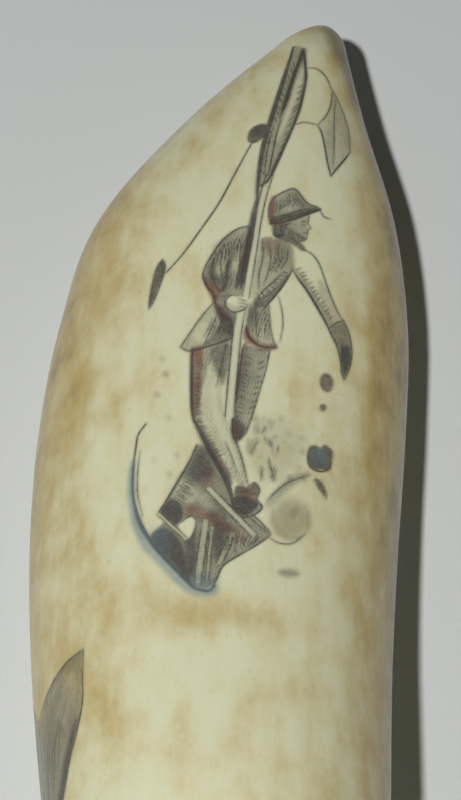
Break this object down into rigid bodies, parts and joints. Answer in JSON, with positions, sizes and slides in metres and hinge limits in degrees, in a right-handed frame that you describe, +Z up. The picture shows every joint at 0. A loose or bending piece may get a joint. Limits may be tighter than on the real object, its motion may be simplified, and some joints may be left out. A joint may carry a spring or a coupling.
{
  "type": "scrimshaw whale tooth",
  "caption": "Polished whale tooth engraved with a sailor at a mast and a whale's flukes, lying on its flattened belly, its sawn root end open to the hollow pulp cavity.",
  "frame": {"origin": "on the resting surface, under the middle of the tooth's length and width", "axes": "+Y from the sawn root end to the tip, +Z up out of the resting surface, through the engraved face, +X to the side that the tip leans towards"},
  "size_m": [0.0636, 0.16, 0.0511],
  "materials": {
    "ivory": "hand-polished ivory, satin, cream with tan age stains, ink-filled engraving"
  },
  "bodies": {
    "root": {"tooth": "ivory"}
  },
  "joints": []
}
